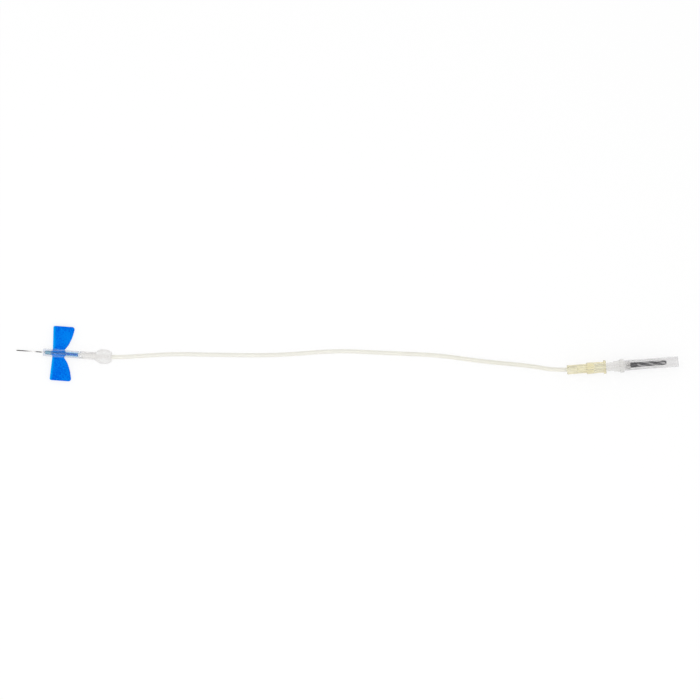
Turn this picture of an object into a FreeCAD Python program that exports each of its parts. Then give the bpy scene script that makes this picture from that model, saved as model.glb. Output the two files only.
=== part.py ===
import FreeCAD, Part
import math
import os
import re

import Sketcher

# Winged infusion set, lying flat on a table, with its safety sleeve drawn back.
#
# +X runs along the needle, from the point to the tubing, and +Z is up.
# The origin is on the table, under the middle of the head.
# The head is the needle, hub, wings and sleeve. Lengths are in millimetres.

SIZES = [
    # Needle, 23 gauge
    ("needle_radius", "0.32", "outside of the needle"),
    ("needle_bore", "0.175", "radius of the needle's bore"),
    ("needle_exposed", "19.05", "needle in front of the hub, three quarters of an inch"),
    ("needle_grip", "8.0", "needle held inside the hub"),
    ("needle_bevel", "2.4", "length of the main grind at the point"),
    ("needle_lancet", "1.0", "length of the two side grinds"),
    ("needle_fit", "0.02", "gap round a needle in its seat"),
    ("bond_film", "0.01", "gap left round a ring of adhesive"),
    ("bond_creep", "0.3", "adhesive drawn out along the needle"),
    # Winged hub, one moulding with the wings
    ("nose_radius", "1.05", "hub at its front end"),
    ("nose_base_radius", "1.35", "nose where it meets the barrel"),
    ("nose_step", "0.4", "cone between nose and barrel"),
    ("web_front", "4.85", "from the nose's end to the webs"),
    ("web_length", "7.95", "webs and wing roots, along the needle"),
    ("web_thickness", "0.9", "webs between hub and wings"),
    ("web_show", "0.35", "web outside the sleeve"),
    ("hub_radius", "1.75", "barrel of the hub"),
    ("shoulder_length", "0.65", "cone behind the barrel"),
    ("stem_length", "8.0", "spigot inside the tubing"),
    ("stem_radius", "0.7", "spigot at its root"),
    ("stem_end_radius", "0.6", "spigot at its end"),
    ("flow_radius", "0.3", "passage through the hub"),
    ("well_radius", "0.7", "adhesive well round a needle"),
    ("well_depth", "1.2", "adhesive well, along the needle"),
    # Wings
    ("hinge_gap", "0.1", "thin fold line between web and wing"),
    ("wing_thickness", "0.8", "plate of the wing"),
    ("wing_span", "14.35", "from the fold line to the wing's end"),
    ("wing_sweep", "0.7", "wing's end in front of its root"),
    ("wing_tip_length", "14.4", "wing's end, before its corners are rounded"),
    ("wing_root_flare", "0.55", "wing's root behind the web, at the fold line"),
    ("wing_waist_flare", "2.2", "rear edge behind the web, where it starts to straighten"),
    ("wing_waist_reach", "2.4", "that point, from the fold line"),
    ("wing_belly_flare", "4.35", "rear edge behind the web, half way along the wing"),
    ("wing_belly_reach", "7.55", "that point, from the fold line"),
    ("wing_side_round", "8.0", "curve of the rear edge at both points"),
    ("wing_front_round", "1.2", "front corner of the wing's end"),
    ("wing_rear_round", "1.7", "rear corner of the wing's end"),
    ("wing_edge_round", "0.25", "edge of the wing's plate"),
    # Safety sleeve
    ("sleeve_length", "44.85", "sleeve with its grip"),
    ("sleeve_wall", "0.55", "wall of the sleeve"),
    ("sleeve_lead", "1.3", "sleeve in front of the hub's nose"),
    ("sleeve_rim", "0.2", "rounded rim at the front"),
    ("slide_clearance", "0.2", "gap between hub and sleeve"),
    ("point_cover", "0.85", "sleeve past the point when it is locked"),
    ("slot_clearance", "0.2", "gap above and below the webs"),
    ("slot_end_clearance", "0.3", "gap at the ends of the slots"),
    ("tooth_clearance", "0.05", "gap between web and lock tooth"),
    ("tooth_length", "0.8", "ramp of a lock tooth"),
    ("tooth_play", "0.2", "from a lock tooth to the locked web"),
    ("grip_length", "11.4", "grip at the rear of the sleeve"),
    ("grip_width", "9.5", "grip at its widest"),
    ("grip_front_width", "4.9", "grip where it leaves the sleeve"),
    ("grip_rear_width", "6.0", "grip at its flat rear end"),
    ("grip_flare", "3.9", "length over which the grip widens"),
    ("grip_taper", "3.0", "length over which the grip narrows"),
    ("grip_side_round", "6.0", "rounding of the grip's sides"),
    ("grip_rear_round", "1.4", "rounding of the grip's rear corners"),
    ("grip_edge_round", "1.8", "rounding of the grip's top and bottom edges"),
    ("grip_clearance", "0.225", "gap round the tubing in the grip"),
    ("grip_mouth", "0.5", "lead-in at the rear of the grip's hole"),
    # Tubing
    ("tube_radius", "1.375", "outside of the tubing"),
    ("tube_wall", "0.65", "wall of the tubing"),
    ("tube_seat_gap", "0.02", "between the hub's shoulder and the tubing"),
    ("table_gap", "0.025", "under the tubing where it lies"),
    # Socket connector at the end of the tubing
    ("socket_x", "326.9", "where the tubing goes in, along the needle's line"),
    ("socket_y", "13.47", "where the tubing goes in, beside the needle's line"),
    ("socket_turn", "8.5", "direction of the connectors, in degrees"),
    ("socket_depth", "7.0", "tubing inside the connector"),
    ("tube_fit", "0.025", "gap round the tubing in the connector"),
    ("tube_lead", "0.3", "lead-in for the tubing"),
    ("luer_length", "25.55", "socket connector, from end to end"),
    ("luer_grip_length", "13.0", "narrow part of the connector"),
    ("luer_grip_radius", "2.9", "narrow part of the connector"),
    ("luer_collar_radius", "3.05", "collar and ribs on the narrow part"),
    ("luer_collar_length", "2.7", "collar at the tubing"),
    ("luer_chamfer", "0.4", "front edge and steps of the connector"),
    ("luer_rib_width", "0.7", "ribs on the narrow part"),
    ("luer_rib_count", "8", "ribs round the narrow part"),
    ("luer_cup_radius", "3.8", "wide part, at its step"),
    ("luer_cup_end_radius", "3.45", "wide part, at its flange"),
    ("luer_flange_radius", "4.4", "flange round the socket's mouth"),
    ("luer_flange_length", "1.75", "thickness of that flange"),
    ("luer_bore", "0.8", "passage through the connector"),
    ("luer_mouth_radius", "2.15", "tapered socket at its mouth"),
    ("luer_depth", "8.0", "tapered socket, along its axis"),
    ("luer_taper", "0.03", "radius lost for each millimetre of taper"),
    # Plug adapter
    ("luer_fit", "0.02", "gap between the tapered plug and its socket"),
    ("plug_length", "7.5", "tapered plug in front of the barrel"),
    ("plug_gap", "0.3", "between the connector's mouth and the barrel"),
    ("plug_bore", "1.0", "passage through the plug"),
    ("plug_bore_length", "20.0", "from the plug's end to the needle's seat"),
    ("barrel_radius", "2.8", "barrel behind the plug"),
    ("barrel_length", "4.7", "barrel behind the plug"),
    ("collar_radius", "3.4", "first step behind the barrel"),
    ("collar_length", "2.6", "first step behind the barrel"),
    ("ring_radius", "3.8", "second step, in front of the flange"),
    ("ring_length", "1.4", "second step, in front of the flange"),
    ("flange_radius", "4.4", "flange that a tube holder is turned against"),
    ("flange_length", "2.6", "thickness of that flange"),
    ("flange_round", "0.3", "edges of both flanges"),
    ("neck_radius", "3.3", "boss behind the flange"),
    ("neck_length", "0.3", "boss behind the flange"),
    ("land_radius", "2.75", "plain land that carries the cap"),
    ("land_length", "1.3", "plain land that carries the cap"),
    ("core_radius", "2.5", "core of the thread"),
    ("core_length", "2.5", "core of the thread"),
    ("boss_radius", "1.15", "boss inside the rubber"),
    ("boss_length", "3.5", "boss inside the rubber"),
    # Needle for the tube holder, and its rubber
    ("holder_needle_radius", "0.41", "outside of the 21 gauge needle"),
    ("holder_needle_bore", "0.26", "radius of its bore"),
    ("holder_needle_length", "24.2", "whole length of that needle"),
    ("holder_needle_bevel", "1.8", "length of its grind"),
    ("holder_needle_lancet", "0.9", "length of its side grinds"),
    ("rubber_end_wall", "1.8", "rubber at its closed end"),
    ("rubber_radius", "1.7", "rubber at its root"),
    ("rubber_end_radius", "1.45", "rubber at its end"),
    ("rubber_round", "1.1", "rounded end of the rubber"),
    ("rubber_gap", "0.1", "between the thread and the rubber"),
    ("rubber_fit", "0.03", "gap between boss and rubber"),
    ("rubber_needle_gap", "0.09", "gap between needle and rubber"),
    ("rubber_tip_gap", "0.7", "inside the rubber, past the needle's point"),
    # Cap
    ("cap_gap", "0.2", "between the flange's boss and the cap"),
    ("cap_fit", "0.1", "gap between land and cap"),
    ("cap_wall", "0.6", "wall of the cap"),
    ("cap_length", "35.0", "cap from mouth to closed end"),
    ("cap_mouth_length", "2.0", "straight part at the mouth"),
    ("cap_waist_radius", "3.1", "outside of the cap at its waist"),
    ("cap_waist_start", "10.0", "from the mouth to the waist"),
    ("cap_waist_length", "13.0", "waist of the cap"),
    ("cap_end_radius", "3.35", "outside of the cap at its closed end"),
    ("cap_end_length", "9.0", "straight part at the closed end"),
    ("cap_end_round", "0.5", "edge of the closed end"),
    ("cap_floor", "1.0", "thickness of the closed end"),
    ("cap_rib_width", "0.35", "lengthwise ribs of the cap"),
    ("cap_rib_depth", "0.15", "ribs sunk into the cap's wall"),
    ("cap_rib_count", "12", "ribs round the cap"),
]
NAMES = {name for name, value, meaning in SIZES}

doc = FreeCAD.newDocument("winged_infusion_set")
sheet = doc.addObject("Spreadsheet::Sheet", "Sizes")
for row, (name, value, meaning) in enumerate(SIZES, 1):
    sheet.set("A%d" % row, meaning)
    sheet.set("B%d" % row, value)
    sheet.setAlias("B%d" % row, name)
doc.recompute()

parts = []
checks = []


# Names, outlines and features


def bound(words):
    """Put the sheet's name before each size in an expression."""
    return re.sub(r"[a-z_]+", lambda w: "Sizes." + w[0] if w[0] in NAMES else w[0], words)


def value(words):
    """Work out an expression from the sheet, in millimetres."""
    return float(sheet.evalExpression(bound(words)))


def new_part(node, place):
    """Start a body whose place is an expression."""
    body = doc.addObject("PartDesign::Body", node)
    body.Label = node
    body.setExpression("Placement", bound(place))
    parts.append(body)
    return body


def origin_feature(body, role):
    return [item for item in body.Origin.OriginFeatures if item.Role == role][0]


def outline(body, name, plane, corners):
    """Closed outline of straight lines, each corner tied to the sheet."""
    sketch = body.newObject("Sketcher::SketchObject", name)
    sketch.AttachmentSupport = (origin_feature(body, plane), [""])
    sketch.MapMode = "FlatFace"
    points = [FreeCAD.Vector(value(x), value(y), 0) for x, y in corners]
    for start, end in zip(points, points[1:] + points[:1]):
        sketch.addGeometry(Part.LineSegment(start, end), False)
    last = len(corners) - 1
    for line in range(len(corners)):
        following = 0 if line == last else line + 1
        sketch.addConstraint(Sketcher.Constraint("Coincident", line, 2, following, 1))
    for line, (x, y) in enumerate(corners):
        for kind, words in (("DistanceX", x), ("DistanceY", y)):
            tie = Sketcher.Constraint(kind, -1, 1, line, 1, value(words))
            sketch.setExpression("Constraints[%d]" % sketch.addConstraint(tie), bound(words))
    return sketch


def turned(body, name, corners, kind="PartDesign::Revolution"):
    """Turn an outline of (along, radius) corners round the body's X axis."""
    sketch = outline(body, name + "_outline", "XZ_Plane", corners)
    feature = body.newObject(kind, name)
    feature.Profile = sketch
    feature.ReferenceAxis = (sketch, ["H_Axis"])
    feature.Angle = 360
    doc.recompute()
    return feature


def bored(body, name, corners):
    """Cut a turned passage, and note that it has to remove material."""
    before = body.Shape.Volume
    feature = turned(body, name, corners, "PartDesign::Groove")
    checks.append((name, body.Shape.Volume < before))
    return feature


def raised(body, name, plane, corners, thickness):
    """Plate on both sides of a plane."""
    feature = body.newObject("PartDesign::Pad", name)
    feature.Profile = outline(body, name + "_outline", plane, corners)
    feature.SideType = "Symmetric"
    feature.setExpression("Length", bound(thickness))
    doc.recompute()
    return feature


def cut_through(body, name, plane, corners):
    """Cut an outline right through, on both sides of its plane."""
    before = body.Shape.Volume
    feature = body.newObject("PartDesign::Pocket", name)
    feature.Profile = outline(body, name + "_outline", plane, corners)
    feature.SideType = "Symmetric"
    feature.Type = "ThroughAll"
    doc.recompute()
    checks.append((name, body.Shape.Volume < before))
    return feature


def rounded(body, name, radius, wanted):
    """Round the edges that a test picks."""
    base = body.Tip
    edges = ["Edge%d" % n for n, edge in enumerate(base.Shape.Edges, 1) if wanted(edge)]
    feature = body.newObject("PartDesign::Fillet", name)
    feature.Base = (base, edges)
    feature.setExpression("Radius", bound(radius))
    doc.recompute()
    return feature


def ringed(body, name, feature, count):
    """Repeat a feature round the body's X axis."""
    pattern = body.newObject("PartDesign::PolarPattern", name)
    pattern.Originals = [feature]
    pattern.Axis = (origin_feature(body, "X_Axis"), [""])
    pattern.Angle = 360
    pattern.setExpression("Occurrences", bound(count))
    body.Tip = pattern
    doc.recompute()
    return pattern


def near(number, words):
    return abs(number - value(words)) < 1e-4


def is_upright(edge):
    ends = [vertex.Point for vertex in edge.Vertexes]
    return len(ends) == 2 and (ends[1] - ends[0]).cross(FreeCAD.Vector(0, 0, 1)).Length < 1e-6


# Places

SLEEVE_RADIUS = "(hub_radius + slide_clearance + sleeve_wall)"
AXIS_HEIGHT = SLEEVE_RADIUS
HEAD_LENGTH = "(needle_exposed - sleeve_lead + sleeve_length)"
POINT_X = "(-" + HEAD_LENGTH + " / 2)"
NOSE_X = "(" + POINT_X + " + needle_exposed)"
SLEEVE_X = "(" + NOSE_X + " - sleeve_lead)"
WEB_X = "(" + NOSE_X + " + web_front)"
WEB_REACH = "(" + SLEEVE_RADIUS + " + web_show)"
HINGE_Y = "(" + WEB_REACH + " + hinge_gap + wing_thickness / 2)"
SHOULDER = "(web_front + web_length + shoulder_length)"
TRAVEL = "(needle_exposed - sleeve_lead + point_cover)"


def at(x, y="0", turn="0", about="0; 0; 1"):
    """Place in the head, y being measured from the needle's line."""
    spin = "rotation(vector(" + about + "); " + turn + ")"
    return "placement(vector(" + x + "; " + y + "; " + AXIS_HEIGHT + "); " + spin + ")"


def beyond_socket(along, turn="0"):
    """Place on the connectors' axis, a distance past where the tubing goes in."""
    x = "socket_x + (" + along + ") * cos(socket_turn)"
    y = "socket_y + (" + along + ") * sin(socket_turn)"
    spin = "rotation(vector(0; 0; 1); socket_turn + " + turn + ")"
    return "placement(vector(" + x + "; " + y + "; luer_flange_radius); " + spin + ")"


# Needles: stainless tube, ground to a point with one main and two side grinds

GRIND_MARGIN = "0.1"


def needle(node, place, radius, bore, length, bevel, lancet):
    body = new_part(node, place)
    turned(body, node + "_tube", [("0", bore), ("0", radius), (length, radius), (length, bore)])
    above = radius + " + " + GRIND_MARGIN
    before = "-" + GRIND_MARGIN
    main = [("0", "-" + radius), (bevel, radius), (bevel, above), (before, above), (before, "-" + radius)]
    cut_through(body, node + "_bevel", "XZ_Plane", main)
    for side, sign in (("left", ""), ("right", "-")):
        beside = sign + "(" + above + ")"
        grind = [("0", "0"), (lancet, sign + radius), (lancet, beside), (before, beside), (before, "0")]
        cut_through(body, node + "_" + side + "_grind", "XY_Plane", grind)
    return body


needle(
    "needle_cannula",
    at(POINT_X),
    "needle_radius",
    "needle_bore",
    "needle_exposed + needle_grip",
    "needle_bevel",
    "needle_lancet",
)


# Adhesive that holds a needle in its well, drawn a little way out along it


def bond(node, place, radius):
    body = new_part(node, place)
    inner = radius + " + bond_film"
    outer = "well_radius - bond_film"
    ring = [("-bond_creep", inner), ("0", outer), ("well_depth - bond_film", outer)]
    turned(body, node + "_ring", ring + [("well_depth - bond_film", inner)])


bond("needle_bond", at(NOSE_X), "needle_radius")


# Winged hub: nose, barrel with a web on each side, and a spigot for the tubing

hub = new_part("winged_hub", at(NOSE_X))
STEM_END = "(" + SHOULDER + " + stem_length)"
turned(
    hub,
    "hub_body",
    [
        ("0", "0"),
        ("0", "nose_radius"),
        ("web_front - nose_step", "nose_base_radius"),
        ("web_front", "hub_radius"),
        ("web_front + web_length", "hub_radius"),
        (SHOULDER, "tube_radius"),
        (SHOULDER, "stem_radius"),
        (STEM_END, "stem_end_radius"),
        (STEM_END, "0"),
    ],
)
WEB_REAR = "web_front + web_length"
webs = [
    ("web_front", "-" + WEB_REACH),
    (WEB_REAR, "-" + WEB_REACH),
    (WEB_REAR, WEB_REACH),
    ("web_front", WEB_REACH),
]
raised(hub, "hub_webs", "XY_Plane", webs, "web_thickness")
bored(
    hub,
    "hub_passage",
    [
        ("0", "0"),
        ("0", "well_radius"),
        ("well_depth", "well_radius"),
        ("well_depth", "needle_radius + needle_fit"),
        ("needle_grip", "needle_radius + needle_fit"),
        ("needle_grip", "flow_radius"),
        (STEM_END, "flow_radius"),
        (STEM_END, "0"),
    ],
)


# Wings: soft plates that fold up about a thin line beside the webs


def wing(node, place):
    body = new_part(node, place)
    rear = "wing_tip_length - wing_sweep"
    waist = "web_length + wing_waist_flare"
    belly = "web_length + wing_belly_flare"
    plate = [
        ("0", "0"),
        ("web_length + wing_root_flare", "0"),
        (waist, "wing_waist_reach"),
        (belly, "wing_belly_reach"),
        (rear, "wing_span"),
        ("-wing_sweep", "wing_span"),
    ]
    raised(body, node + "_plate", "XY_Plane", plate, "wing_thickness")

    def corner(x, y):
        """Test for the upright edge at one corner of the plate."""
        return lambda edge: (
            is_upright(edge) and near(edge.Vertexes[0].X, x) and near(edge.Vertexes[0].Y, y)
        )

    rounded(body, node + "_front_corner", "wing_front_round", corner("-wing_sweep", "wing_span"))
    rounded(body, node + "_rear_corner", "wing_rear_round", corner(rear, "wing_span"))
    rounded(body, node + "_waist", "wing_side_round", corner(waist, "wing_waist_reach"))
    rounded(body, node + "_belly", "wing_side_round", corner(belly, "wing_belly_reach"))

    def on_rim(edge):
        flat = abs(edge.BoundBox.ZMax - edge.BoundBox.ZMin) < 1e-6
        return flat and edge.BoundBox.YMax > 1e-6

    rounded(body, node + "_rim", "wing_edge_round", on_rim)

    fold = body.newObject("Sketcher::SketchObject", node + "_fold_outline")
    fold.AttachmentSupport = (origin_feature(body, "YZ_Plane"), [""])
    fold.MapMode = "FlatFace"
    centre = FreeCAD.Vector(0, 0, 0)
    fold.addGeometry(Part.Circle(centre, FreeCAD.Vector(0, 0, 1), value("wing_thickness / 2")), False)
    fold.addConstraint(Sketcher.Constraint("Coincident", 0, 3, -1, 1))
    tie = fold.addConstraint(Sketcher.Constraint("Radius", 0, value("wing_thickness / 2")))
    fold.setExpression("Constraints[%d]" % tie, bound("wing_thickness / 2"))
    bead = body.newObject("PartDesign::Pad", node + "_fold")
    bead.Profile = fold
    bead.setExpression("Length", bound("web_length"))
    doc.recompute()


wing("left_wing", at(WEB_X, HINGE_Y))
wing("right_wing", at(WEB_X, "-" + HINGE_Y, "180", "1; 0; 0"))


# Safety sleeve: clear tube that slides on the hub, slotted for the webs

sleeve = new_part("safety_sheath", at(SLEEVE_X))
GRIP_FRONT = "(sleeve_length - grip_length)"
FLARE_END = GRIP_FRONT + " + grip_flare"
TAPER_START = "sleeve_length - grip_taper"
grip_side = [
    (GRIP_FRONT, "grip_front_width / 2"),
    (FLARE_END, "grip_width / 2"),
    (TAPER_START, "grip_width / 2"),
    ("sleeve_length", "grip_rear_width / 2"),
]
grip_plan = grip_side + [(x, "-" + y) for x, y in reversed(grip_side)]
raised(sleeve, "grip", "XY_Plane", grip_plan, "2 * " + AXIS_HEIGHT)


def grip_corner(x, width):
    """Test for the upright edges at one station of the grip."""
    return lambda edge: (
        is_upright(edge) and near(edge.Vertexes[0].X, x) and near(abs(edge.Vertexes[0].Y), width + " / 2")
    )


rounded(sleeve, "grip_shoulders", "grip_side_round", grip_corner(FLARE_END, "grip_width"))
rounded(sleeve, "grip_hips", "grip_side_round", grip_corner(TAPER_START, "grip_width"))
rounded(sleeve, "grip_rear_corners", "grip_rear_round", grip_corner("sleeve_length", "grip_rear_width"))
rounded(
    sleeve,
    "grip_edges",
    "grip_edge_round",
    lambda edge: near(abs(edge.BoundBox.ZMin), AXIS_HEIGHT) and near(abs(edge.BoundBox.ZMax), AXIS_HEIGHT)
    and edge.BoundBox.ZLength < 1e-6,
)
rod = [("0", "0"), ("0", SLEEVE_RADIUS), (GRIP_FRONT + " + grip_flare / 2", SLEEVE_RADIUS)]
turned(sleeve, "sleeve_rod", rod + [(GRIP_FRONT + " + grip_flare / 2", "0")])
rounded(sleeve, "sleeve_front_rim", "sleeve_rim", lambda edge: near(edge.BoundBox.XMax, "0"))
SLIDE_RADIUS = "hub_radius + slide_clearance"
GRIP_HOLE = "tube_radius + grip_clearance"
SLIDE_END = "(sleeve_lead + " + SHOULDER + " + " + TRAVEL + " + slot_end_clearance)"
bored(
    sleeve,
    "sleeve_hollow",
    [
        ("0", "0"),
        ("0", SLIDE_RADIUS),
        (SLIDE_END, SLIDE_RADIUS),
        (SLIDE_END, GRIP_HOLE),
        ("sleeve_length - grip_mouth", GRIP_HOLE),
        ("sleeve_length", GRIP_HOLE + " + grip_mouth"),
        ("sleeve_length", "0"),
    ],
)

# Slots, with a ramped tooth above and below that the webs click past at the end of the travel
SLOT_HALF = "(web_thickness / 2 + slot_clearance)"
TOOTH_HALF = "(web_thickness / 2 + tooth_clearance)"
SLOT_FRONT = "sleeve_lead + web_front - slot_end_clearance"
SLOT_REAR = "sleeve_lead + web_front + web_length + " + TRAVEL + " + slot_end_clearance"
TOOTH_REAR = "sleeve_lead + web_front + " + TRAVEL + " - tooth_play"
slot_top = [
    (SLOT_FRONT, SLOT_HALF),
    (TOOTH_REAR + " - tooth_length", SLOT_HALF),
    (TOOTH_REAR, TOOTH_HALF),
    (TOOTH_REAR, SLOT_HALF),
    (SLOT_REAR, SLOT_HALF),
]
slots = slot_top + [(x, "-" + z) for x, z in reversed(slot_top)]
cut_through(sleeve, "sleeve_slots", "XZ_Plane", slots)


# Tubing: over the hub's spigot, through the grip, along the table and into the connector

TUBE_LIE = value("tube_radius + table_gap")
HEAD_AXIS = value(AXIS_HEIGHT)
socket_angle = math.radians(value("socket_turn"))
socket_way = FreeCAD.Vector(math.cos(socket_angle), math.sin(socket_angle), 0)
socket_mouth = FreeCAD.Vector(value("socket_x"), value("socket_y"), value("luer_flange_radius"))
STRAIGHT_LEAD = 6.5
route = [
    FreeCAD.Vector(value(NOSE_X + " + " + SHOULDER + " + tube_seat_gap"), 0, HEAD_AXIS),
    FreeCAD.Vector(17.5, -0.1, HEAD_AXIS - 0.05),
    FreeCAD.Vector(36.5, 0.1, HEAD_AXIS),
    FreeCAD.Vector(68, 4.9, TUBE_LIE),
    FreeCAD.Vector(96, 6.35, TUBE_LIE),
    FreeCAD.Vector(139, 9, TUBE_LIE),
    FreeCAD.Vector(176, 15.1, TUBE_LIE),
    FreeCAD.Vector(209, 15.75, TUBE_LIE),
    FreeCAD.Vector(243, 16.95, TUBE_LIE),
    FreeCAD.Vector(270, 14.95, TUBE_LIE),
    FreeCAD.Vector(303, 14.4, TUBE_LIE),
    socket_mouth - socket_way * STRAIGHT_LEAD,
    socket_mouth + socket_way * value("socket_depth"),
]

ARC_SHARE = 0.45


def smooth_path(points):
    """Straight runs joined by tangent arcs, with the radius of each arc."""
    edges = []
    radii = []
    here = points[0]
    for before, corner, after in zip(points, points[1:], points[2:]):
        inward = (corner - before).normalize()
        onward = (after - corner).normalize()
        tangent = ARC_SHARE * min((corner - before).Length, (after - corner).Length)
        half_turn = inward.getAngle(onward) / 2
        radius = tangent / math.tan(half_turn)
        start = corner - inward * tangent
        end = corner + onward * tangent
        middle = corner + (onward - inward).normalize() * (radius / math.cos(half_turn) - radius)
        edges.append(Part.LineSegment(here, start).toShape())
        edges.append(Part.Arc(start, middle, end).toShape())
        radii.append(radius)
        here = end
    edges.append(Part.LineSegment(here, points[-1]).toShape())
    return Part.Wire(edges), radii


def swept(path, points, radius):
    """Round bar along a path."""
    ring = Part.makeCircle(radius, points[0], points[1] - points[0])
    return path.makePipeShell([Part.Wire(ring)], True, False)


tube_outer = value("tube_radius")
tube_inner = value("tube_radius - tube_wall")
path, radii = smooth_path(route)
tubing = doc.addObject("Part::Feature", "tubing")
tubing.Label = "tubing"
tubing.Shape = swept(path, route, tube_outer).cut(swept(path, route, tube_inner))
tubing.Placement = FreeCAD.Placement()
parts.append(tubing)
ring_area = math.pi * (tube_outer**2 - tube_inner**2)
checks.append(("tubing volume", abs(tubing.Shape.Volume / (ring_area * path.Length) - 1) < 0.001))
print("tubing length", round(path.Length, 2), "bend radii", [round(radius) for radius in radii])


# Socket connector: bonded over the tubing, with ribs to hold it by and a tapered socket

luer = new_part("female_luer", beyond_socket("0"))
COLLAR_START = "luer_chamfer"
COLLAR_END = "(luer_chamfer + luer_collar_length)"
FLANGE_START = "luer_length - luer_flange_length"
turned(
    luer,
    "luer_body",
    [
        ("0", "0"),
        ("0", "luer_grip_radius - luer_chamfer"),
        (COLLAR_START, "luer_collar_radius"),
        (COLLAR_END, "luer_collar_radius"),
        (COLLAR_END, "luer_grip_radius"),
        ("luer_grip_length - luer_chamfer", "luer_grip_radius"),
        ("luer_grip_length", "luer_cup_radius"),
        (FLANGE_START, "luer_cup_end_radius"),
        (FLANGE_START, "luer_flange_radius"),
        ("luer_length", "luer_flange_radius"),
        ("luer_length", "0"),
    ],
)


def flange_edges(radius):
    """Test for the two round edges of a flange."""
    return lambda edge: hasattr(edge.Curve, "Radius") and near(edge.Curve.Radius, radius)


rounded(luer, "luer_flange_edges", "flange_round", flange_edges("luer_flange_radius"))
RIB_START = COLLAR_END + " + 2 * luer_chamfer"
RIB_END = "luer_grip_length - 2 * luer_chamfer"
RIB_ROOT = "2 * luer_grip_radius - luer_collar_radius"
luer_rib = [(RIB_START, RIB_ROOT), (RIB_END, RIB_ROOT), (RIB_END, "luer_collar_radius")]
luer_rib += [(RIB_START, "luer_collar_radius")]
first_rib = raised(luer, "luer_rib", "XZ_Plane", luer_rib, "luer_rib_width")
ringed(luer, "luer_ribs", first_rib, "luer_rib_count")
SOCKET_RADIUS = "tube_radius + tube_fit"
LUER_FLOOR = "luer_length - luer_depth"
bored(
    luer,
    "luer_passage",
    [
        ("0", "0"),
        ("0", SOCKET_RADIUS + " + tube_lead"),
        ("tube_lead", SOCKET_RADIUS),
        ("socket_depth", SOCKET_RADIUS),
        ("socket_depth", "luer_bore"),
        (LUER_FLOOR, "luer_bore"),
        (LUER_FLOOR, "luer_mouth_radius - luer_taper * luer_depth"),
        ("luer_length", "luer_mouth_radius"),
        ("luer_length", "0"),
    ],
)


# Plug adapter: tapered plug, stepped barrel, flange, thread and a boss for the rubber

PLUG_END = "(luer_length + plug_gap - plug_length)"
adapter = new_part("luer_adapter", beyond_socket(PLUG_END))
COLLAR_FRONT = "(plug_length + barrel_length)"
RING_FRONT = "(" + COLLAR_FRONT + " + collar_length)"
FLANGE_FRONT = "(" + RING_FRONT + " + ring_length)"
FLANGE_REAR = "(" + FLANGE_FRONT + " + flange_length)"
NECK_REAR = "(" + FLANGE_REAR + " + neck_length)"
CORE_FRONT = "(" + NECK_REAR + " + land_length)"
CORE_REAR = "(" + CORE_FRONT + " + core_length)"
BOSS_REAR = "(" + CORE_REAR + " + boss_length)"
PLUG_BASE_RADIUS = "(luer_mouth_radius - luer_fit + luer_taper * plug_gap)"
turned(
    adapter,
    "adapter_body",
    [
        ("0", "0"),
        ("0", PLUG_BASE_RADIUS + " - luer_taper * plug_length"),
        ("plug_length", PLUG_BASE_RADIUS),
        ("plug_length", "barrel_radius"),
        (COLLAR_FRONT, "barrel_radius"),
        (COLLAR_FRONT, "collar_radius"),
        (RING_FRONT, "collar_radius"),
        (RING_FRONT, "ring_radius"),
        (FLANGE_FRONT, "ring_radius"),
        (FLANGE_FRONT, "flange_radius"),
        (FLANGE_REAR, "flange_radius"),
        (FLANGE_REAR, "neck_radius"),
        (NECK_REAR, "neck_radius"),
        (NECK_REAR, "land_radius"),
        (CORE_FRONT, "land_radius"),
        (CORE_FRONT, "core_radius"),
        (CORE_REAR, "core_radius"),
        (CORE_REAR, "boss_radius"),
        (BOSS_REAR, "boss_radius"),
        (BOSS_REAR, "0"),
    ],
)
rounded(adapter, "adapter_flange_edges", "flange_round", flange_edges("flange_radius"))
HOLDER_SEAT = "holder_needle_radius + needle_fit"
bored(
    adapter,
    "adapter_passage",
    [
        ("0", "0"),
        ("0", "plug_bore"),
        ("plug_bore_length", "plug_bore"),
        ("plug_bore_length", HOLDER_SEAT),
        (BOSS_REAR + " - well_depth", HOLDER_SEAT),
        (BOSS_REAR + " - well_depth", "well_radius"),
        (BOSS_REAR, "well_radius"),
        (BOSS_REAR, "0"),
    ],
)


# Needle that goes into the tube holder, with its point towards the cap's closed end

HOLDER_POINT = PLUG_END + " + plug_bore_length + holder_needle_length"
needle(
    "holder_needle",
    beyond_socket(HOLDER_POINT, "180"),
    "holder_needle_radius",
    "holder_needle_bore",
    "holder_needle_length",
    "holder_needle_bevel",
    "holder_needle_lancet",
)
bond("holder_needle_bond", beyond_socket(PLUG_END + " + " + BOSS_REAR, "180"), "holder_needle_radius")


# Rubber sleeve: pushed over the boss, closed at its end, pierced when a tube goes on

rubber = new_part("rubber_sleeve", beyond_socket(PLUG_END + " + " + CORE_REAR + " + rubber_gap"))
BOSS_POCKET = "boss_length + bond_creep + rubber_gap"
HOLDER_TIP = "plug_bore_length + holder_needle_length"
NEEDLE_POCKET = "(" + HOLDER_TIP + " + rubber_tip_gap - " + CORE_REAR + " - rubber_gap)"
RUBBER_LENGTH = "(" + NEEDLE_POCKET + " + rubber_end_wall)"
turned(
    rubber,
    "rubber_body",
    [
        ("0", "boss_radius + rubber_fit"),
        ("0", "rubber_radius"),
        (RUBBER_LENGTH, "rubber_end_radius"),
        (RUBBER_LENGTH, "0"),
        (NEEDLE_POCKET, "0"),
        (NEEDLE_POCKET, "holder_needle_radius + rubber_needle_gap"),
        (BOSS_POCKET, "holder_needle_radius + rubber_needle_gap"),
        (BOSS_POCKET, "boss_radius + rubber_fit"),
    ],
)
rounded(
    rubber,
    "rubber_end",
    "rubber_round",
    lambda edge: near(edge.BoundBox.XMin, RUBBER_LENGTH) and near(edge.BoundBox.ZMax, "rubber_end_radius"),
)


# Cap: clear, waisted, closed at its far end, with fine ribs along it

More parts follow.
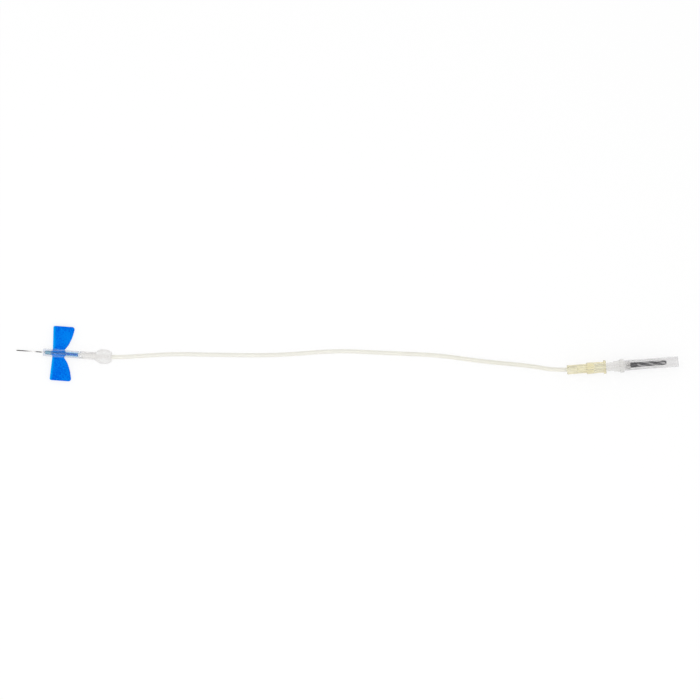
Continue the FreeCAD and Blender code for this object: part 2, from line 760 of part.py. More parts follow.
cap = new_part("needle_cap", beyond_socket(PLUG_END + " + " + NECK_REAR + " + cap_gap"))
CAP_BORE = "(land_radius + cap_fit)"
WAIST_END = "(cap_waist_start + cap_waist_length)"
END_START = "(cap_length - cap_end_length)"
turned(
    cap,
    "cap_body",
    [
        ("0", CAP_BORE),
        ("0", CAP_BORE + " + cap_wall"),
        ("cap_mouth_length", CAP_BORE + " + cap_wall"),
        ("cap_waist_start", "cap_waist_radius"),
        (WAIST_END, "cap_waist_radius"),
        (END_START, "cap_end_radius"),
        ("cap_length", "cap_end_radius"),
        ("cap_length", "0"),
        ("cap_length - cap_floor", "0"),
        ("cap_length - cap_floor", "cap_end_radius - cap_wall"),
        (END_START, "cap_end_radius - cap_wall"),
        (WAIST_END, "cap_waist_radius - cap_wall"),
        ("cap_waist_start", "cap_waist_radius - cap_wall"),
        ("cap_mouth_length", CAP_BORE),
    ],
)
rounded(
    cap,
    "cap_end_edge",
    "cap_end_round",
    lambda edge: near(edge.BoundBox.XMin, "cap_length") and near(edge.BoundBox.ZMax, "cap_end_radius"),
)
RIB_BOTTOM = "cap_waist_radius - cap_rib_depth"
cap_rib = [
    ("cap_mouth_length", CAP_BORE + " + cap_wall - cap_rib_depth"),
    ("cap_mouth_length", CAP_BORE + " + cap_wall"),
    (END_START, "cap_end_radius"),
    (END_START, "cap_end_radius - cap_rib_depth"),
    (WAIST_END, RIB_BOTTOM),
    ("cap_waist_start", RIB_BOTTOM),
]
first_cap_rib = raised(cap, "cap_rib", "XZ_Plane", cap_rib, "cap_rib_width")
ringed(cap, "cap_ribs", first_cap_rib, "cap_rib_count")


# Checks, then one file for each part

doc.recompute()
for item in doc.Objects:
    if "Invalid" in item.State or "Error" in item.State:
        raise RuntimeError("%s: %s" % (item.Label, item.State))
for name, passed in checks:
    if not passed:
        raise RuntimeError(name + " failed its check")
os.makedirs("parts", exist_ok=True)
for item in parts:
    if item.Shape.isNull() or not item.Shape.isValid() or not item.Shape.Solids:
        raise RuntimeError(item.Label + " has no valid solid")
    item.Shape.exportStep("parts/%s.step" % item.Label)
    box = item.Shape.BoundBox
    low = [round(number, 3) for number in (box.XMin, box.YMin, box.ZMin)]
    high = [round(number, 3) for number in (box.XMax, box.YMax, box.ZMax)]
    print(item.Label, len(item.Shape.Solids), "volume", round(item.Shape.Volume, 2), low, high)
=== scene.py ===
import math

import bpy
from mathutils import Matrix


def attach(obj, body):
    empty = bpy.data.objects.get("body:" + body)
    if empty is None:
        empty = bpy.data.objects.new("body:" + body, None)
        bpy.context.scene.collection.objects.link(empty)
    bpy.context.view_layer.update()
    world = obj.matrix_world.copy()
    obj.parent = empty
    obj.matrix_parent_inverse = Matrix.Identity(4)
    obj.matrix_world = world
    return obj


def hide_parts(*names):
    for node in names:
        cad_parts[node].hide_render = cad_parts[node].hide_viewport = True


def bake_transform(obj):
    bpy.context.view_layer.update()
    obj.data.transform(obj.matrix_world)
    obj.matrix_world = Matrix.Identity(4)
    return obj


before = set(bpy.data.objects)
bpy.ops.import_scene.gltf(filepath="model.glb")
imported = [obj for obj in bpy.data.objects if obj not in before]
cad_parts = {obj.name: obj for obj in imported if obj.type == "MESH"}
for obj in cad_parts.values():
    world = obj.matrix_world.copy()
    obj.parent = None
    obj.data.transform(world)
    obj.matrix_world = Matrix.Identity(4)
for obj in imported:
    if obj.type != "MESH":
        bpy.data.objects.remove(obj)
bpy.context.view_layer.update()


# Needle. Drawn stainless tube, 23 gauge, with a bevel and two side grinds.
# It is polished lengthwise, so fine lines run along it. Its colour has a painted reflection:
# bands of darker and lighter steel along its length, standing in for the room it mirrors.

MM = 0.001
# Ranges of X over which the painted reflection brightens, darkens and brightens again.
FRONT_BRIGHTENS = (-26.5 * MM, -19.8 * MM)
FRONT_DARKENS = (-19.1 * MM, -17.5 * MM)
REAR_BRIGHTENS = (-15.1 * MM, -13.7 * MM)


class Wire:
    """An output in a material's nodes, so that shader sums are written as sums."""

    def __init__(self, tree, output):
        self.tree = tree
        self.output = output

    def node(self, kind, settings, sockets, output=0):
        """Add a node: settings first, then the value or the wire of each socket."""
        made = self.tree.nodes.new("ShaderNode" + kind)
        for name, setting in settings.items():
            setattr(made, name, setting)
        for name, given in sockets.items():
            if isinstance(given, Wire):
                self.tree.links.new(given.output, made.inputs[name])
            else:
                made.inputs[name].default_value = given
        return Wire(self.tree, made.outputs[output]) if made.outputs else None

    def math(self, operation, *given):
        return self.node("Math", {"operation": operation}, dict(enumerate(given)))

    def __add__(self, other):
        return self.math("ADD", self, other)

    def __mul__(self, other):
        return self.math("MULTIPLY", self, other)

    def __sub__(self, other):
        return self.math("SUBTRACT", self, other)

    def __rsub__(self, other):
        return self.math("SUBTRACT", other, self)

    __radd__ = __add__
    __rmul__ = __mul__

    def step(self, low, high):
        """Smooth rise from 0 at low to 1 at high."""
        sockets = {"Value": self, "From Min": low, "From Max": high}
        return self.node("MapRange", {"interpolation_type": "SMOOTHSTEP"}, sockets)

    def colour(self, first, second):
        """First colour where this value is 0, second where it is 1."""
        # Mixing colours, the node takes them at sockets 6 and 7 and gives its result at output 2.
        return self.node("Mix", {"data_type": "RGBA"}, {0: self, 6: first, 7: second}, 2)

    def axis(self, name):
        return self.node("SeparateXYZ", {}, {0: self}, name)

    def grain(self, size, stretch=(1, 1, 1), detail=2.0):
        """Noise with grains of a size in metres, drawn out along an axis by a stretch under 1."""
        place = self.node("Mapping", {}, {"Vector": self, "Scale": stretch})
        return self.node("TexNoise", {}, {"Vector": place, "Scale": 1 / size, "Detail": detail})

    def relief(self, depth):
        """Bumps of a depth in metres."""
        return self.node("Bump", {}, {"Height": self, "Distance": depth})


def finish(name):
    """New material, and the wire with its object's coordinates."""
    material = bpy.data.materials.new(name)
    material.use_nodes = True
    material.node_tree.nodes.clear()
    return material, Wire(material.node_tree, None).node("TexCoord", {}, {}, "Object")


def rgb(red, green, blue):
    return (red, green, blue, 1.0)


def shader(place, sockets):
    return place.node("BsdfPrincipled", {}, sockets)


def all_over(place, surface):
    """Finish that is one shader over the whole piece."""
    place.node("OutputMaterial", {}, {"Surface": surface})


def dress(node, material):
    """Give a CAD node its finish."""
    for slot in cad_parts[node].material_slots:
        slot.material = material


needle_steel, place = finish("drawn_steel")
along = place.axis("X")
# Painted reflection: the steel's colour goes lighter and darker in bands along X.
painted_reflection = along.step(*FRONT_BRIGHTENS) - along.step(*FRONT_DARKENS) + along.step(*REAR_BRIGHTENS) * 0.9
lines = place.grain(0.05 * MM, (0.02, 1, 1))
steel_tone = (painted_reflection + (lines - 0.5) * 0.2).colour(rgb(0.05, 0.045, 0.045), rgb(0.68, 0.67, 0.66))
all_over(place, shader(place, {
    "Base Color": steel_tone,
    "Metallic": 1.0,
    "Roughness": lines * 0.12 + 0.16,
    "Normal": lines.relief(0.004 * MM),
}))
dress("needle_cannula", needle_steel)


# Adhesive rings. Clear resin run into the well round each needle and cured, so it is
# slightly milky and has a drawn-up, glossy edge.

resin, place = finish("cured_resin")
cloud = place.grain(0.4 * MM)
all_over(place, shader(place, {
    "Base Color": cloud.colour(rgb(0.80, 0.82, 0.82), rgb(0.92, 0.93, 0.92)),
    "Roughness": cloud * 0.1 + 0.06,
    "Transmission Weight": 0.7,
    "IOR": 1.5,
}))
dress("needle_bond", resin)
dress("holder_needle_bond", resin)


# Hub. Blue moulding inside the sleeve: a paler nose round the needle, a barrel with a
# thin web on each side, and a spigot that the tubing is bonded to. It is darker along its
# middle, where it is thick and the steel lies in it, and lighter towards the thin webs.

NOSE_TO_BARREL = (-9.2 * MM, -7.2 * MM)
BARREL_TO_SPIGOT = (0.6 * MM, 1.4 * MM)
MIDDLE_TO_WEB = (0.5 * MM, 1.0 * MM)

hub_blue, place = finish("hub_plastic")
along, across = place.axis("X"), place.math("ABSOLUTE", place.axis("Y"))
cloud = place.grain(1.6 * MM)
fine = place.grain(0.12 * MM)
barrel_tone = cloud.colour(rgb(0.01, 0.21, 0.70), rgb(0.02, 0.27, 0.82))
barrel_tone = (1 - across.step(*MIDDLE_TO_WEB)).colour(barrel_tone, rgb(0.012, 0.135, 0.44))
barrel_tone = along.step(*BARREL_TO_SPIGOT).colour(barrel_tone, rgb(0.0, 0.22, 0.64))
all_over(place, shader(place, {
    "Base Color": along.step(*NOSE_TO_BARREL).colour(rgb(0.21, 0.385, 0.46), barrel_tone),
    "Roughness": fine * 0.15 + 0.26,
    "Specular IOR Level": 0.2,
    "Normal": fine.relief(0.004 * MM),
}))
dress("winged_hub", hub_blue)


# Wings. Soft matt plates moulded in one with the hub: each starts in the end of its web,
# thins to a fold line and widens to an end with round corners, so that it folds up
# between two fingers. The rim is rounded all along, and its front edge has a painted highlight, as
# where light falls on it from the front.

WING_LEVEL = 2.5 * MM
WING_THICKNESS = 0.8 * MM
WING_END = 17.7 * MM
REAR_MOST = 5.92 * MM
FRONT_ROUND = 1.2 * MM
REAR_ROUND = 1.7 * MM
RIM_ROUND = 0.25 * MM

# The fold line. Each round of thinning leaves the points
# within a reach of the fold line a share of their thickness.
FOLD = 3.35 * MM
THINNING = ((0.36 * MM, 0.86), (0.26 * MM, 0.84), (0.16 * MM, 0.86))

# How far the front edge lies from X = 0 at Y = 0, by what share of Y that grows, and the
# stretch behind it over which the painted highlight on the front edge fades.
FRONT_SETBACK = 7.24 * MM
FRONT_SLANT = 0.0488
FRONT_HIGHLIGHT_STRETCH = (-0.2 * MM, 2.2 * MM)

# What counts as beside an edge or at a face, and where the plate needs no more rows.
BESIDE = 0.2 * MM
HAIR = 0.003 * MM
ROWS_END = 5 * MM

# Outline as (Y, X) and rows as Y, all in mm, for the wing on the left.
FRONT_LINE = ((2.7, -7.35), (3.0, -7.38), (3.35, -7.4), (17.7, -8.1))
REAR_LINE = (
    (2.7, 0.5), (2.85, 0.52), (3.1, 0.85), (3.35, 1.1), (4.4, 1.82), (5.5, 2.6), (6.2, 2.98),
    (7.2, 3.39), (9.2, 4.2), (10.2, 4.58), (11.7, 5.06), (17.7, 6.3),
)
ROWS = (
    2.7, 2.8, 2.9, 3.0, 3.1, 3.2, 3.3, 3.4, 3.5, 3.6, 3.7, 3.8, 4.1, 4.4, 4.9, 5.5, 6.2, 6.7, 7.2,
    7.9, 8.6, 9.4, 10.2, 11.0, 11.8, 12.6, 13.4, 14.2, 15.0, 15.6, 16.0, 16.3, 16.6, 16.85, 17.05,
    17.2, 17.35, 17.47, 17.57, 17.64, 17.68, 17.695, 17.7,
)


def start_afresh():
    if bpy.context.object and bpy.context.object.mode != "OBJECT":
        bpy.ops.object.mode_set(mode="OBJECT")
    bpy.ops.object.select_all(action="DESELECT")


def choose(kind, test):
    """In edit mode, select the edges or points whose middle passes a test."""
    bpy.ops.mesh.select_mode(type=kind)
    bpy.ops.mesh.select_all(action="DESELECT")
    bpy.ops.object.mode_set(mode="OBJECT")
    mesh = bpy.context.object.data
    if kind == "EDGE":
        for edge in mesh.edges:
            first, second = [mesh.vertices[point].co for point in edge.vertices]
            edge.select = test((first + second) / 2)
    else:
        for point in mesh.vertices:
            point.select = test(point.co)
    bpy.ops.object.mode_set(mode="EDIT")


def modified(kind, **settings):
    """Add a modifier to the active piece and apply it."""
    piece = bpy.context.object
    made = piece.modifiers.new(kind.lower(), kind)
    for name, setting in settings.items():
        setattr(made, name, setting)
    bpy.ops.object.modifier_apply(modifier=made.name)


def face_outwards():
    """In edit mode, turn every face outwards."""
    bpy.ops.mesh.select_all(action="SELECT")
    bpy.ops.mesh.normals_make_consistent(inside=False)


def finished(name, material, angle, body=None):
    """Put the active piece's place in its mesh, shade it smooth up to an angle and hand it over."""
    bpy.ops.object.mode_set(mode="OBJECT")
    piece = bpy.context.object
    piece.name = piece.data.name = name
    bpy.ops.object.transform_apply(location=True, rotation=True, scale=True)
    bpy.ops.object.shade_smooth_by_angle(angle=math.radians(angle))
    piece.data.materials.clear()
    piece.data.materials.append(material)
    if body:
        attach(piece, body)
    return piece


def between(y, line):
    """The X at y on a line given as (Y, X) points."""
    for (low, first), (high, second) in zip(line, line[1:]):
        if y <= high:
            return first + (second - first) * (y - low) / (high - low)
    return line[-1][1]


def rounding(past, radius):
    """How far a rounded corner has drawn in, this far past its start."""
    return radius - math.sqrt(max(radius * radius - past * past, 0)) if past > 0 else 0


def wing_edges(y):
    """The X of the wing's front and rear edge in metres, at a row in mm."""
    front = between(y, FRONT_LINE) * MM + rounding(y * MM - (WING_END - FRONT_ROUND), FRONT_ROUND)
    rear = min(between(y, REAR_LINE) * MM, REAR_MOST)
    return front, rear - rounding(y * MM - (WING_END - REAR_ROUND), REAR_ROUND)


def beside_outline(point):
    return min(abs(point.x - edge) for edge in wing_edges(point.y / MM)) < BESIDE


def on_rim(point):
    at_face = abs(point.z - WING_LEVEL) > WING_THICKNESS / 2 - HAIR
    return at_face and (beside_outline(point) or point.y > WING_END - HAIR)


def wing(name, node, side):
    """Draw out a plate row by row, then give it its thickness, rim and thin fold line."""
    start_afresh()
    front, rear = wing_edges(ROWS[0])
    length = (ROWS[1] - ROWS[0]) * MM
    middle = ((front + rear) / 2, ROWS[0] * MM + length / 2, WING_LEVEL)
    bpy.ops.mesh.primitive_plane_add(size=1, location=middle)
    bpy.ops.object.transform_apply(location=True, rotation=True, scale=True)
    bpy.ops.object.mode_set(mode="EDIT")
    bpy.ops.mesh.select_all(action="SELECT")
    bpy.ops.transform.resize(value=(rear - front, length, 1), center_override=middle)
    choose("VERT", lambda point: point.y > ROWS[0] * MM + length / 2)
    for low, high in zip(ROWS[1:], ROWS[2:]):
        bpy.ops.mesh.extrude_region_move(TRANSFORM_OT_translate={"value": (0, (high - low) * MM, 0)})
        front, rear = wing_edges(low)
        next_front, next_rear = wing_edges(high)
        middle = ((front + rear) / 2, high * MM, WING_LEVEL)
        narrowed = (next_rear - next_front) / (rear - front)
        bpy.ops.transform.resize(value=(narrowed, 1, 1), center_override=middle)
        bpy.ops.transform.translate(value=((next_front + next_rear - front - rear) / 2, 0, 0))
    choose("EDGE", lambda point: ROWS_END < point.y < WING_END - HAIR and not beside_outline(point))
    bpy.ops.mesh.dissolve_edges(use_verts=False)

    bpy.ops.object.mode_set(mode="OBJECT")
    modified("SOLIDIFY", thickness=WING_THICKNESS, offset=0, use_even_offset=True)
    bpy.ops.object.mode_set(mode="EDIT")
    choose("EDGE", on_rim)
    bpy.ops.mesh.bevel(offset=RIM_ROUND, segments=3, affect="EDGES", clamp_overlap=True)
    for reach, share in THINNING:
        choose("VERT", lambda point: abs(point.y - FOLD) < reach)
        bpy.ops.transform.resize(value=(1, 1, share), center_override=(0, FOLD, WING_LEVEL))
    if side < 0:
        bpy.ops.mesh.select_all(action="SELECT")
        bpy.ops.transform.resize(value=(1, -1, 1), center_override=(0, 0, WING_LEVEL))
    face_outwards()
    piece = finished(name, wing_blue, 14)
    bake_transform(piece)
    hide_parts(node)


wing_blue, place = finish("soft_wing_plastic")
stipple = place.grain(0.32 * MM, detail=3.0)
cloud = place.grain(1.0 * MM)
shade = place.grain(9 * MM, detail=0.0)
along, across = place.axis("X"), place.math("ABSOLUTE", place.axis("Y"))
from_front = along + across * FRONT_SLANT + FRONT_SETBACK
wing_tone = (cloud * 0.5 + stipple * 0.25 + shade * 0.25).step(0.4, 0.6)
wing_tone = wing_tone.colour(rgb(0.0, 0.12, 0.72), rgb(0.0, 0.22, 0.855))
# Painted highlight: a paler band along the front edge, where light falls on it from the front.
painted_front_highlight = (1 - from_front.step(*FRONT_HIGHLIGHT_STRETCH)) * 0.85
all_over(place, shader(place, {
    "Base Color": painted_front_highlight.colour(wing_tone, rgb(0.0, 0.43, 0.93)),
    "Roughness": stipple * 0.2 + 0.5,
    "Specular IOR Level": 0.01,
    "Normal": stipple.relief(0.03 * MM),
}))

wing("left_soft_wing", "left_wing", 1)
wing("right_soft_wing", "right_wing", -1)


# Safety sleeve. Clear moulded tube with a slot on each side for the webs, and a flat
# frosted grip at its rear end that a finger pushes to bring it over the point.
# Its finish bends light less than the real plastic, so that it doesn't darken the hub.

TUBE_TO_NECK = (8.5 * MM, 14 * MM)
NECK_TO_GRIP = (17 * MM, 22 * MM)


def mixed(place, factor, first, second):
    """Finish that goes from one shader to another over the piece."""
    all_over(place, place.node("MixShader", {}, {0: factor, 1: first, 2: second}))


def absorbs(place, colour, density):
    """Thick clear plastic is darker, as along a tube's edges: density is per metre."""
    inside = place.node("VolumeAbsorption", {}, {"Color": colour, "Density": density})
    output = place.tree.nodes["Material Output"]
    place.tree.links.new(inside.output, output.inputs["Volume"])


def lets_light_through(node):
    """Clear plastic casts no dark shadow."""
    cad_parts[node].visible_shadow = False


sleeve_clear, place = finish("sleeve_plastic")
along = place.axis("X")
frosted = along.step(*TUBE_TO_NECK) * 0.75 + along.step(*NECK_TO_GRIP) * 0.2
haze = place.grain(0.7 * MM)
fine = place.grain(0.16 * MM)
clear = shader(place, {
    "Base Color": haze.colour(rgb(0.80, 0.82, 0.88), rgb(0.90, 0.91, 0.94)),
    "Roughness": haze * 0.16 + 0.06,
    "Transmission Weight": 1.0,
    "IOR": 1.22,
    "Specular IOR Level": 0.15,
})
frost_tone = (haze * 0.5 + fine * 0.5).step(0.35, 0.65)
frost = shader(place, {
    "Base Color": frost_tone.colour(rgb(0.82, 0.80, 0.78), rgb(0.955, 0.945, 0.93)),
    "Roughness": fine * 0.2 + 0.5,
    "Transmission Weight": 0.3,
    "IOR": 1.45,
    "Normal": fine.relief(0.02 * MM),
})
mixed(place, frosted, clear, frost)
absorbs(place, rgb(0.78, 0.87, 0.96), 55)
dress("safety_sheath", sleeve_clear)
lets_light_through("safety_sheath")


# Tubing. Soft extruded tube, clear but slightly milky, 2.75 mm outside and 1.45 mm inside.
# It is bonded over the hub's spigot, runs out through the grip and lies loose on the table
# until it rises into the socket connector, which holds it at its own height.

TUBE_RADIUS = 1.375 * MM
TUBE_WALL = 0.65 * MM
SPIGOT_TO_FREE = (8.8 * MM, 9.8 * MM)
FREE_TO_SOCKET = (325 * MM, 328 * MM)
YELLOWS = (150 * MM, 330 * MM)

# The points of its route in mm, as in the part's source.
TUBE_POINTS = (
    (1.22, 0, 2.5), (17.5, -0.1, 2.45), (36.5, 0.1, 2.5), (68, 4.9, 1.4), (96, 6.35, 1.4),
    (139, 9, 1.4), (176, 15.1, 1.4), (209, 15.75, 1.4), (243, 16.95, 1.4), (270, 14.95, 1.4),
    (303, 14.4, 1.4), (320.47, 12.51, 4.4), (333.82, 14.5, 4.4),
)

route = bpy.data.curves.new("tubing_route", "CURVE")
route.dimensions = "3D"
spline = route.splines.new("NURBS")
spline.points.add(len(TUBE_POINTS) - 1)
for point, (x, y, z) in zip(spline.points, TUBE_POINTS):
    point.co = (x * MM, y * MM, z * MM, 1)
spline.order_u = 3
spline.use_endpoint_u = True
spline.resolution_u = 24
tubing = bpy.data.objects.new("soft_tubing", route)
bpy.context.scene.collection.objects.link(tubing)
bpy.context.view_layer.update()
line = bpy.data.meshes.new_from_object(tubing)
bpy.data.meshes.remove(line)

route.bevel_depth = TUBE_RADIUS
route.bevel_resolution = 10
start_afresh()
tubing.select_set(True)
bpy.context.view_layer.objects.active = tubing
bpy.ops.object.convert(target="MESH")
bpy.ops.object.mode_set(mode="EDIT")
face_outwards()
bpy.ops.object.mode_set(mode="OBJECT")
modified("SOLIDIFY", thickness=TUBE_WALL, offset=-1, use_even_offset=True)

tubing_soft, place = finish("milky_tubing")
along = place.axis("X")
cloud = place.grain(6 * MM, (0.4, 1, 1))
yellow = along.step(*YELLOWS) * 0.6 + cloud * 0.3
over_spigot = shader(place, {
    "Base Color": rgb(0.34, 0.68, 0.93),
    "Roughness": 0.06,
    "Transmission Weight": 1.0,
    "IOR": 1.4,
    "Specular IOR Level": 0.1,
})
free_run = shader(place, {
    "Base Color": yellow.colour(rgb(0.955, 0.945, 0.89), rgb(0.93, 0.91, 0.82)),
    "Alpha": 1 - along.step(*FREE_TO_SOCKET) * 0.75,
    "Roughness": cloud * 0.1 + 0.29,
    "Specular IOR Level": 0.3,
    "Transmission Weight": 0.3,
    "IOR": 1.45,
    "Normal": place.grain(0.6 * MM, (0.12, 1, 1)).relief(0.005 * MM),
})
mixed(place, along.step(*SPIGOT_TO_FREE), over_spigot, free_run)
absorbs(place, rgb(0.90, 0.88, 0.78), 60)
tubing = finished("soft_tubing", tubing_soft, 60, "root")
tubing.visible_shadow = False
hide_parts("tubing")


# Socket connector. Translucent yellowish moulding with a ribbed grip and a tapered socket
# with a flange. The tubing is bonded into its small end.

connector_amber, place = finish("amber_plastic")
cloud = place.grain(1.1 * MM, (0.35, 1, 1))
all_over(place, shader(place, {
    "Base Color": cloud.step(0.35, 0.65).colour(rgb(0.97, 0.955, 0.85), rgb(1.0, 1.0, 0.98)),
    "Roughness": cloud * 0.12 + 0.05,
    "Transmission Weight": 0.9,
    "IOR": 1.45,
    "Normal": cloud.relief(0.03 * MM),
}))
absorbs(place, rgb(0.81, 0.735, 0.38), 160)
dress("female_luer", connector_amber)
lets_light_through("female_luer")


# Plug adapter. Clear moulding: a tapered plug in the socket, a barrel, a collar, a flange
# and the thread that the tube holder is screwed on. The thread's ridge is a piece of its
# own, whose finish bends light less, so that the rubber behind it doesn't darken it.

PLUG_TO_BARREL = (351.5 * MM, 353 * MM)
CONNECTOR_TURN = math.radians(8.5)
CONNECTOR_START = (326.9 * MM, 13.47 * MM, 4.4 * MM)
THREAD_START = (39.05 * MM, 0, 2.42 * MM)
THREAD_RUN = 1.9 * MM
THREAD_TURNS = 2.4
THREAD_STEPS = 110
THREAD_RIDGE = 0.3 * MM


def close_ends():
    """In edit mode, close every open ring with a face."""
    bpy.ops.mesh.select_all(action="SELECT")
    bpy.ops.mesh.fill_holes(sides=0)


def on_connector_line():
    """Turn the active piece, modelled along X from the socket connector's start, into place."""
    piece = bpy.context.object
    piece.rotation_euler = (0, 0, CONNECTOR_TURN)
    piece.location = CONNECTOR_START


adapter_clear, place = finish("adapter_plastic")
cloud = place.grain(0.9 * MM, (0.5, 1, 1))
clear_tone = cloud.colour(rgb(0.88, 0.875, 0.865), rgb(0.96, 0.955, 0.95))
in_front = place.axis("X").step(*PLUG_TO_BARREL)
all_over(place, shader(place, {
    "Base Color": in_front.colour(rgb(0.99, 0.99, 0.98), clear_tone),
    "Roughness": cloud * 0.12 + 0.08,
    "Transmission Weight": 1.0,
    "IOR": 1.45,
    "Normal": cloud.relief(0.015 * MM),
}))
absorbs(place, rgb(0.80, 0.79, 0.77), 120)
dress("luer_adapter", adapter_clear)
lets_light_through("luer_adapter")

thread_clear, place = finish("thread_plastic")
cloud = place.grain(0.5 * MM)
all_over(place, shader(place, {
    "Base Color": cloud.colour(rgb(0.95, 0.945, 0.94), rgb(0.99, 0.99, 0.985)),
    "Roughness": cloud * 0.1 + 0.05,
    "Transmission Weight": 1.0,
    "IOR": 1.14,
    "Specular IOR Level": 0.3,
}))

start_afresh()
bpy.ops.mesh.primitive_circle_add(
    vertices=6, radius=THREAD_RIDGE, location=THREAD_START, rotation=(math.pi / 2, 0, 0)
)
bpy.ops.object.transform_apply(location=True, rotation=True, scale=True)
modified(
    "SCREW", axis="X", angle=2 * math.pi * THREAD_TURNS, screw_offset=THREAD_RUN,
    steps=THREAD_STEPS, render_steps=THREAD_STEPS,
)
bpy.ops.object.mode_set(mode="EDIT")
close_ends()
face_outwards()
on_connector_line()
thread = finished("holder_thread_ridge", thread_clear, 40, "adapter")
thread.visible_shadow = False


# Needle for the tube holder. The same drawn steel, glued into the adapter's boss, which
# runs on inside the rubber sleeve. It is bare only when a tube pushes the sleeve back.

holder_steel, place = finish("holder_needle_steel")
lines = place.grain(0.06 * MM, (0.05, 1, 1))
all_over(place, shader(place, {
    "Base Color": lines.colour(rgb(0.48, 0.47, 0.46), rgb(0.60, 0.59, 0.58)),
    "Metallic": 1.0,
    "Roughness": lines * 0.1 + 0.18,
}))
dress("holder_needle", holder_steel)


# Rubber sleeve. Grey moulded rubber, dusted, pushed over the adapter's boss, with a bore
# for the needle and a closed tip. It is slightly flattened and twisted, so it shows as a
# two-lobed twist through the cap, with a pale painted highlight along its two hollows.

SLEEVE_SIDES = 48
TWIST_PITCH = 16.3
HOLLOW_ABOVE = 46.3
HOLLOWS_START = 44.2
HOLLOWS_RUN_IN = 2
HOLLOW_DEPTH = 0.32
NEEDLE_POCKET_END = 63.25
INSIDE_THE_WALL = 1.3 * MM

# Half section in mm, as (along, radius): from the needle's pocket through the bores to the
# mouth, and back along the outside to the tip.
bores = [
    (NEEDLE_POCKET_END, 0.1), (NEEDLE_POCKET_END, 0.49), (45.2, 0.49), (45.1, 1.18), (41.45, 1.18),
    (41.36, 1.26),
]
mouth = [(41.36, 1.55), (41.5, 1.7), (44.2, 1.7), (45.0, 1.62)]
run = [(45.0 + 0.5 * n, 1.62 - 0.0045 * n) for n in range(1, 38)]
tip = [(64.05, 1.38), (64.4, 1.25), (64.7, 1.03), (64.9, 0.75), (65.0, 0.4), (65.05, 0.1)]


def turned(points, sides):
    """Ring that is extruded and scaled from point to point, each (along, radius) in mm."""
    start_afresh()
    start, radius = points[0]
    bpy.ops.mesh.primitive_circle_add(
        vertices=sides, radius=radius * MM, location=(start * MM, 0, 0), rotation=(0, math.pi / 2, 0)
    )
    bpy.ops.object.transform_apply(location=True, rotation=True, scale=True)
    bpy.ops.object.mode_set(mode="EDIT")
    bpy.ops.mesh.select_all(action="SELECT")
    for (low, small), (high, large) in zip(points, points[1:]):
        bpy.ops.mesh.extrude_region_move(TRANSFORM_OT_translate={"value": ((high - low) * MM, 0, 0)})
        share = large / small
        bpy.ops.transform.resize(value=(1, share, share), center_override=(high * MM, 0, 0))


def press_hollows(mesh):
    """Press two twisted hollows into the outside, and keep each point's share as an attribute that
    places the painted highlight.
    """
    shares = mesh.attributes.new("hollow_highlight", "FLOAT", "POINT")
    for point, share in zip(mesh.vertices, shares.data):
        place = point.co
        outside = place.x > NEEDLE_POCKET_END * MM or place.yz.length > INSIDE_THE_WALL
        started = min(max((place.x / MM - HOLLOWS_START) / HOLLOWS_RUN_IN, 0), 1) * outside
        turn = 2 * math.pi * (place.x / MM - HOLLOW_ABOVE) / TWIST_PITCH
        angle = math.atan2(place.z, place.y)
        share.value = started * (1 - math.cos(2 * (angle - turn))) / 2
        place.y *= 1 - HOLLOW_DEPTH * share.value
        place.z *= 1 - HOLLOW_DEPTH * share.value


rubber_grey, place = finish("dusted_rubber_painted_highlight")
dust = place.grain(0.25 * MM)
hollow_highlight = place.node("Attribute", {"attribute_name": "hollow_highlight"}, {}, "Fac")
bare = dust.colour(rgb(0.035, 0.034, 0.037), rgb(0.085, 0.083, 0.088))
all_over(place, shader(place, {
    # Painted highlight: pale colour along the twist's hollows, standing in for the glints of the
    # lamp.
    "Base Color": (hollow_highlight.step(0.6, 1.0) * 0.65).colour(bare, rgb(0.60, 0.59, 0.59)),
    "Roughness": dust * 0.2 + 0.4,
    "Normal": dust.relief(0.02 * MM),
}))

turned(bores + mouth + run + tip, SLEEVE_SIDES)
bpy.ops.object.mode_set(mode="OBJECT")
press_hollows(bpy.context.object.data)
bpy.ops.object.mode_set(mode="EDIT")
close_ends()
face_outwards()
on_connector_line()
rubber_sleeve = finished("twisted_rubber_sleeve", rubber_grey, 60, "adapter")
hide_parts("rubber_sleeve")


# Cap. Clear moulding pressed on the adapter, ribbed along its waist for a dry grip.

cap_clear, place = finish("cap_plastic")
cloud = place.grain(1.2 * MM, (0.5, 1, 1))
all_over(place, shader(place, {
    "Base Color": cloud.colour(rgb(0.87, 0.865, 0.865), rgb(0.94, 0.935, 0.935)),
    "Roughness": cloud * 0.12 + 0.08,
    "Transmission Weight": 1.0,
    "IOR": 1.4,
}))
absorbs(place, rgb(0.79, 0.785, 0.785), 120)
dress("needle_cap", cap_clear)
lets_light_through("needle_cap")


# Table, light and camera. White table under soft daylight from all round and one large
# lamp, seen from straight above with the object turned 4.2 degrees, as photographed.

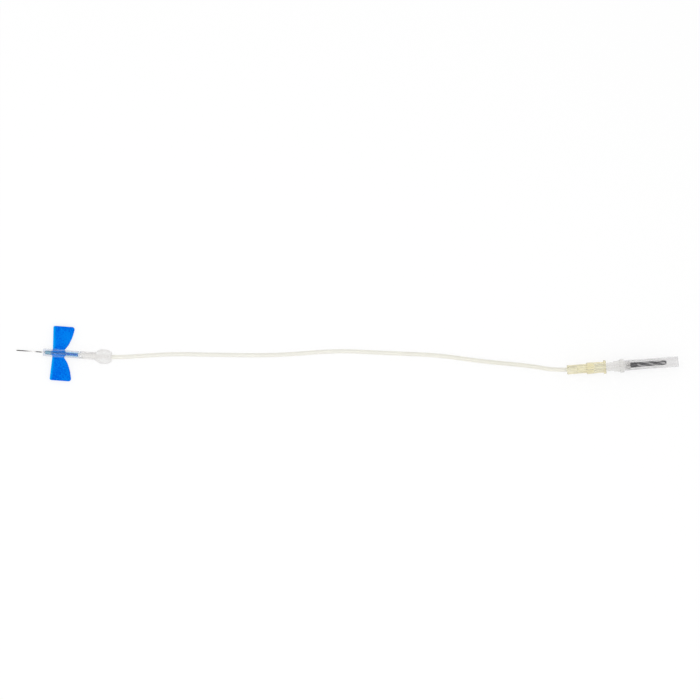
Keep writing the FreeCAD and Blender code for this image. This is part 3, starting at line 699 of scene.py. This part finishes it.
TABLE_SIZE = 4
TABLE_MIDDLE = (0.18, 0.01, 0)
TABLE_WHITENESS = 0.75
DAYLIGHT = 0.84
LAMP_SIZE = 0.7
LAMP_POWER = 2.3
LAMP_PLACE = (0.05, -0.26, 0.93)
LAMP_TURN = (math.radians(15), math.radians(-8), 0)
VIEW_WIDTH = 0.455
VIEW_PLACE = (0.18533, 0.01604, 1.0)
VIEW_TURN = math.radians(4.2)


def in_sight(tree):
    """1 for rays that show the background to the camera, also by way of metal or clear plastic."""
    seen = Wire(tree, None).node("LightPath", {}, {}, "Is Camera Ray")
    rays = seen.output.node.outputs
    for ray in ("Is Glossy Ray", "Is Transmission Ray"):
        seen = seen.math("MAXIMUM", seen, Wire(tree, rays[ray]))
    return seen


start_afresh()
bpy.ops.mesh.primitive_plane_add(size=TABLE_SIZE, location=TABLE_MIDDLE)
table = bpy.context.object
table.name = "table"
table_white, place = finish("table_white")
lit_table = shader(place, {
    "Base Color": place.grain(0.3).colour(rgb(0.98, 0.98, 0.98), rgb(0.99, 0.99, 0.99)),
    "Roughness": 0.9,
    "Specular IOR Level": 0.0,
})
white = place.node("Emission", {}, {"Color": rgb(1, 1, 1), "Strength": 1.0})
mixed(place, in_sight(place.tree) * TABLE_WHITENESS, lit_table, white)
table.data.materials.append(table_white)

world = bpy.data.worlds.new("daylight")
bpy.context.scene.world = world
world.use_nodes = True
world.node_tree.nodes.clear()
seen = in_sight(world.node_tree)
strength = seen * (1 - DAYLIGHT) + DAYLIGHT
sky = seen.node("Background", {}, {"Color": rgb(1, 1, 1), "Strength": strength})
sky.node("OutputWorld", {}, {"Surface": sky})

lamp_data = bpy.data.lights.new("softbox", "AREA")
lamp_data.shape = "DISK"
lamp_data.size = LAMP_SIZE
lamp_data.energy = LAMP_POWER
lamp = bpy.data.objects.new("softbox", lamp_data)
bpy.context.scene.collection.objects.link(lamp)
lamp.location = LAMP_PLACE
lamp.rotation_euler = LAMP_TURN

camera_data = bpy.data.cameras.new("camera")
camera_data.type = "ORTHO"
camera_data.ortho_scale = VIEW_WIDTH
camera = bpy.data.objects.new("camera", camera_data)
bpy.context.scene.collection.objects.link(camera)
camera.location = VIEW_PLACE
camera.rotation_euler = (0, 0, VIEW_TURN)
bpy.context.scene.camera = camera
bpy.context.scene.view_settings.view_transform = "Standard"
